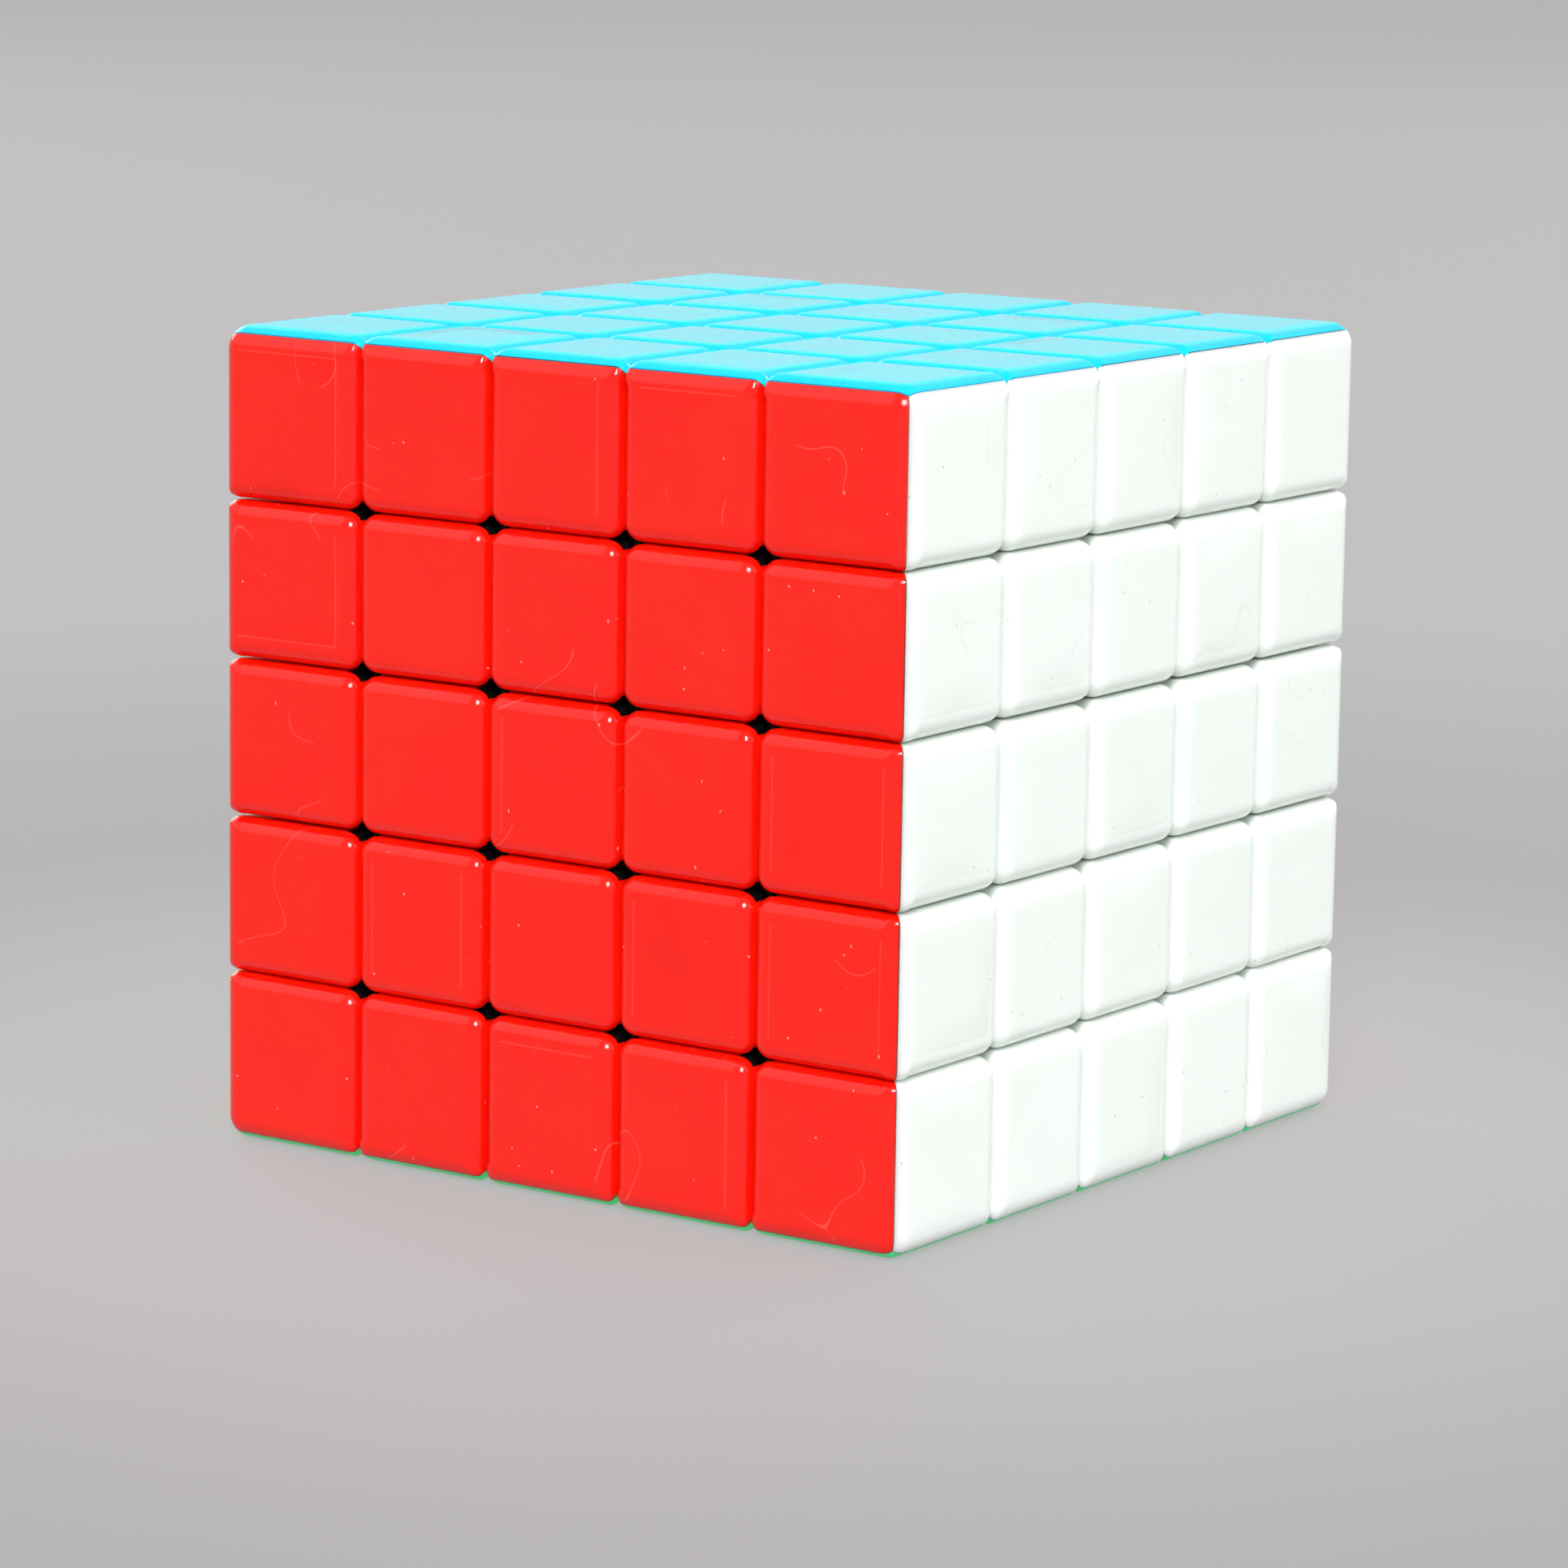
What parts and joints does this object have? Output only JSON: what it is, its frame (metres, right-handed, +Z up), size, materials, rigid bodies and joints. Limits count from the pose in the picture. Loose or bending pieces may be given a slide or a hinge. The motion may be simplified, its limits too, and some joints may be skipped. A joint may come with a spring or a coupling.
{
  "type": "twisty puzzle cube",
  "caption": "Stickerless twisty puzzle cube with rounded coloured blocks, black inner feet, a core, tension screws and springs, and layers that turn.",
  "frame": {"origin": "centre of the cube, where all turning axes meet", "axes": "+Z up through the blue face, -Y out of the red face, +X out of the white face"},
  "size_m": [0.0624, 0.0624, 0.0624],
  "materials": {
    "blue_plastic": "glossy moulded ABS",
    "green_plastic": "glossy moulded ABS",
    "red_plastic": "glossy moulded ABS",
    "orange_plastic": "glossy moulded ABS",
    "white_plastic": "glossy moulded ABS",
    "yellow_plastic": "glossy moulded ABS",
    "black_plastic": "fine matt moulded",
    "core_plastic": "fine matt moulded",
    "screw_steel": "zinc plated",
    "spring_steel": "drawn wire"
  },
  "bodies": {
    "root": {"core": "core_plastic", "middle_fixed_centre_feet": "black_plastic", "middle_middle_edge_feet": "black_plastic", "middle_orange_caps": "orange_plastic", "middle_red_caps": "red_plastic", "middle_straight_centre_feet": "black_plastic", "middle_white_caps": "white_plastic", "middle_yellow_caps": "yellow_plastic", "spring_washers": "screw_steel", "tension_screws": "screw_steel", "tension_springs": "spring_steel"},
    "top_layer": {"blue_corner_caps": "blue_plastic", "blue_edge_caps": "blue_plastic", "blue_inner_caps": "blue_plastic", "top_corner_feet": "black_plastic", "top_diagonal_centre_feet": "black_plastic", "top_fixed_centre_foot": "black_plastic", "top_middle_edge_feet": "black_plastic", "top_orange_caps": "orange_plastic", "top_outer_edge_feet": "black_plastic", "top_red_caps": "red_plastic", "top_straight_centre_feet": "black_plastic", "top_white_caps": "white_plastic", "top_yellow_caps": "yellow_plastic"},
    "upper_slice": {"upper_diagonal_centre_feet": "black_plastic", "upper_orange_caps": "orange_plastic", "upper_outer_edge_feet": "black_plastic", "upper_red_caps": "red_plastic", "upper_straight_centre_feet": "black_plastic", "upper_white_caps": "white_plastic", "upper_yellow_caps": "yellow_plastic"},
    "lower_slice": {"lower_diagonal_centre_feet": "black_plastic", "lower_orange_caps": "orange_plastic", "lower_outer_edge_feet": "black_plastic", "lower_red_caps": "red_plastic", "lower_straight_centre_feet": "black_plastic", "lower_white_caps": "white_plastic", "lower_yellow_caps": "yellow_plastic"},
    "bottom_layer": {"bottom_corner_feet": "black_plastic", "bottom_diagonal_centre_feet": "black_plastic", "bottom_fixed_centre_foot": "black_plastic", "bottom_middle_edge_feet": "black_plastic", "bottom_orange_caps": "orange_plastic", "bottom_outer_edge_feet": "black_plastic", "bottom_red_caps": "red_plastic", "bottom_straight_centre_feet": "black_plastic", "bottom_white_caps": "white_plastic", "bottom_yellow_caps": "yellow_plastic", "green_corner_caps": "green_plastic", "green_edge_caps": "green_plastic", "green_inner_caps": "green_plastic"},
    "blue_centre_cap": {"blue_centre_cap": "blue_plastic"},
    "green_centre_cap": {"green_centre_cap": "green_plastic"},
    "orange_centre_cap": {"orange_centre_cap": "orange_plastic"},
    "red_centre_cap": {"red_centre_cap": "red_plastic"},
    "white_centre_cap": {"white_centre_cap": "white_plastic"},
    "yellow_centre_cap": {"yellow_centre_cap": "yellow_plastic"}
  },
  "joints": [
    {"name": "top_layer_turn", "type": "hinge", "parent": "root", "child": "top_layer", "pos_m": [0, 0, 0], "axis": [0, 0, 1], "continuous": true},
    {"name": "upper_slice_turn", "type": "hinge", "parent": "root", "child": "upper_slice", "pos_m": [0, 0, 0], "axis": [0, 0, 1], "continuous": true},
    {"name": "lower_slice_turn", "type": "hinge", "parent": "root", "child": "lower_slice", "pos_m": [0, 0, 0], "axis": [0, 0, 1], "continuous": true},
    {"name": "bottom_layer_turn", "type": "hinge", "parent": "root", "child": "bottom_layer", "pos_m": [0, 0, 0], "axis": [0, 0, 1], "continuous": true},
    {"name": "blue_centre_cap_pull", "type": "slide", "parent": "top_layer", "child": "blue_centre_cap", "axis": [0, 0, 1], "range_m": [0, 0.008]},
    {"name": "green_centre_cap_pull", "type": "slide", "parent": "bottom_layer", "child": "green_centre_cap", "axis": [0, 0, -1], "range_m": [0, 0.008]},
    {"name": "red_centre_cap_pull", "type": "slide", "parent": "root", "child": "red_centre_cap", "axis": [0, -1, 0], "range_m": [0, 0.008]},
    {"name": "orange_centre_cap_pull", "type": "slide", "parent": "root", "child": "orange_centre_cap", "axis": [0, 1, 0], "range_m": [0, 0.008]},
    {"name": "white_centre_cap_pull", "type": "slide", "parent": "root", "child": "white_centre_cap", "axis": [1, 0, 0], "range_m": [0, 0.008]},
    {"name": "yellow_centre_cap_pull", "type": "slide", "parent": "root", "child": "yellow_centre_cap", "axis": [-1, 0, 0], "range_m": [0, 0.008]}
  ]
}
